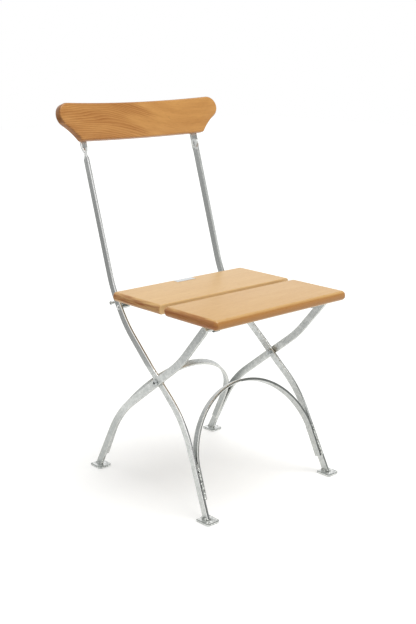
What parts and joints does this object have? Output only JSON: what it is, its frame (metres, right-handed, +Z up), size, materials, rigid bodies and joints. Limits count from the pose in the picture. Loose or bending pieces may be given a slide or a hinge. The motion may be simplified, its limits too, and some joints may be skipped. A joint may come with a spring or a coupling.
{
  "type": "folding garden chair",
  "caption": "Folding garden chair: crossed galvanised flat-bar legs with bent hoops, wooden slat seat hinged to the rear legs and a shaped wooden backrest board.",
  "frame": {"origin": "on the floor, under the middle of the chair's overall box", "axes": "+Z up, the chair faces -Y, +X is the sitter's left side"},
  "size_m": [0.47, 0.5162, 0.86],
  "materials": {
    "galvanised_steel": "hot-dip galvanised, satin",
    "bright_zinc": "zinc plated",
    "seat_oak": "oiled, satin",
    "back_oak": "oiled, satin"
  },
  "bodies": {
    "back_frame": {"back_upright_right": "galvanised_steel", "back_upright_left": "galvanised_steel", "front_hoop": "galvanised_steel", "front_hoop_welds": "galvanised_steel", "front_foot_right": "galvanised_steel", "front_foot_left": "galvanised_steel", "front_foot_welds": "galvanised_steel", "backrest_board": "back_oak", "backrest_screws": "bright_zinc", "pivot_bolt_right": "bright_zinc", "pivot_bolt_left": "bright_zinc", "pivot_washer_right": "bright_zinc", "pivot_washer_left": "bright_zinc", "pivot_nut_right": "bright_zinc", "pivot_nut_left": "bright_zinc", "stop_pin_right": "galvanised_steel", "stop_pin_left": "galvanised_steel"},
    "rear_legs": {"rear_leg_right": "galvanised_steel", "rear_leg_left": "galvanised_steel", "rear_hoop": "galvanised_steel", "rear_hoop_welds": "galvanised_steel", "rear_foot_right": "galvanised_steel", "rear_foot_left": "galvanised_steel", "rear_foot_welds": "galvanised_steel", "front_rod": "galvanised_steel"},
    "seat": {"front_slat": "seat_oak", "rear_slat": "seat_oak", "seat_strap_right": "galvanised_steel", "seat_strap_left": "galvanised_steel", "front_knuckle_right": "galvanised_steel", "front_knuckle_left": "galvanised_steel", "rear_knuckle_right": "galvanised_steel", "rear_knuckle_left": "galvanised_steel", "rear_rod": "galvanised_steel", "rear_rod_heads": "galvanised_steel", "slat_screws": "bright_zinc", "seat_edge_plate": "bright_zinc"}
  },
  "joints": [
    {"name": "leg_fold", "type": "hinge", "parent": "back_frame", "child": "rear_legs", "pos_m": [0, -0.04543, 0.2656], "axis": [-1, 0, 0], "range_deg": [0, 65]},
    {"name": "seat_fold", "type": "hinge", "parent": "rear_legs", "child": "seat", "pos_m": [0, -0.20317, 0.41606], "axis": [1, 0, 0], "range_deg": [0, 117]}
  ],
  "couplings": [
    {"joint": "seat_fold", "follows": "leg_fold", "ratio": 1.8}
  ]
}
